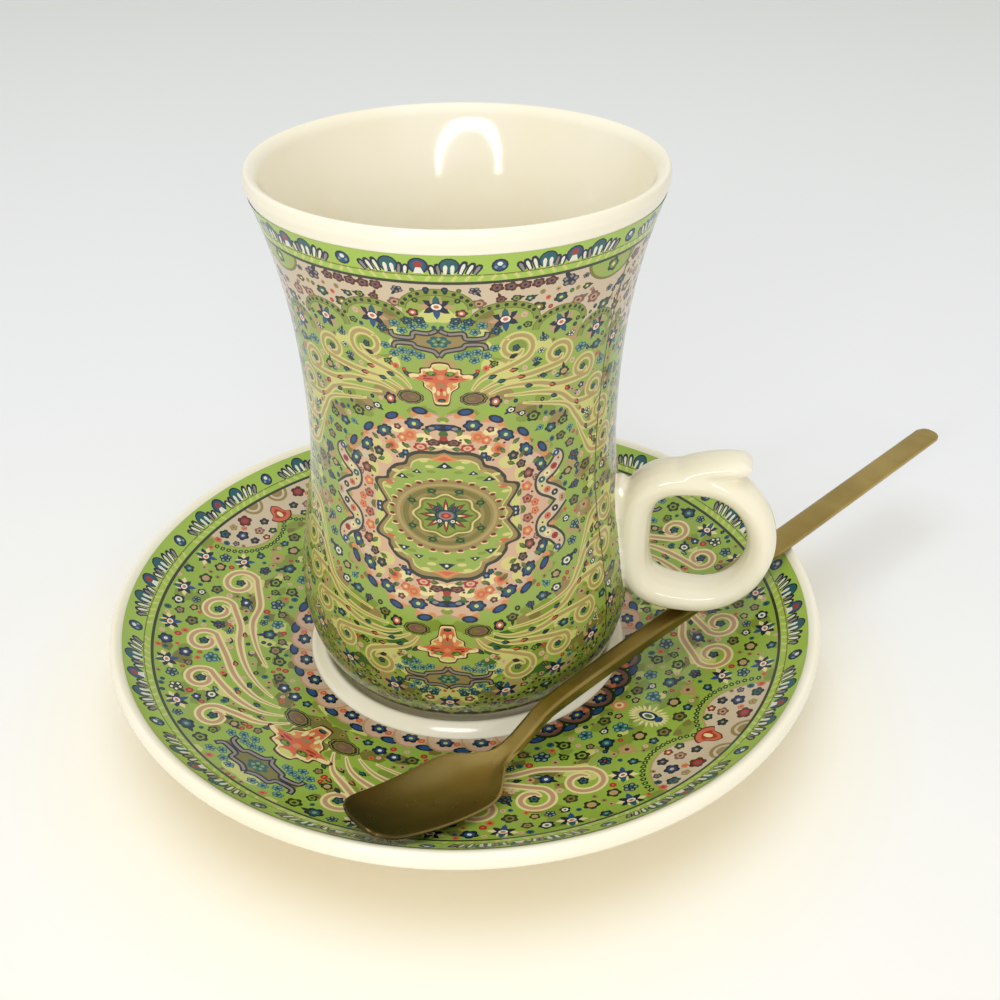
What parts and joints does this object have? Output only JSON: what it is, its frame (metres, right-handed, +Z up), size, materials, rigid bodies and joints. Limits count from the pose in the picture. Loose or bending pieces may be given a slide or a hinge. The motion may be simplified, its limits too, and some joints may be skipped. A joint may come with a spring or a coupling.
{
  "type": "tea cup with saucer and teaspoon",
  "caption": "Small tulip-shaped porcelain tea cup with a looped handle and thumb spur, on its dished saucer, with a flat-stemmed brass teaspoon laid across the saucer.",
  "frame": {"origin": "on the common axis of cup and saucer, at the centre of the flat recess inside the saucer's foot ring; the foot ring stands 1.8 mm lower", "axes": "+Z up along the axis of cup and saucer, +X along the cup's handle, +Y to the left of the handle seen from above with the handle pointing away"},
  "size_m": [0.1435, 0.1256, 0.0903],
  "materials": {
    "printed_glaze": "glossy clear glaze over a lime, pink and blue floral print, ivory where bare",
    "ivory_glaze": "glossy ivory glaze",
    "antique_brass": "satin antique brass"
  },
  "bodies": {
    "saucer": {"saucer": "printed_glaze"},
    "cup": {"cup_body": "printed_glaze", "cup_handle": "ivory_glaze"},
    "spoon": {"teaspoon": "antique_brass"}
  },
  "joints": [
    {"name": "cup_lift", "type": "slide", "parent": "saucer", "child": "cup", "axis": [0, 0, 1], "range_m": [0, 0.12]},
    {"name": "spoon_draw", "type": "slide", "parent": "saucer", "child": "spoon", "axis": [0.8075, 0.5867, 0.061], "range_m": [0, 0.04]}
  ]
}
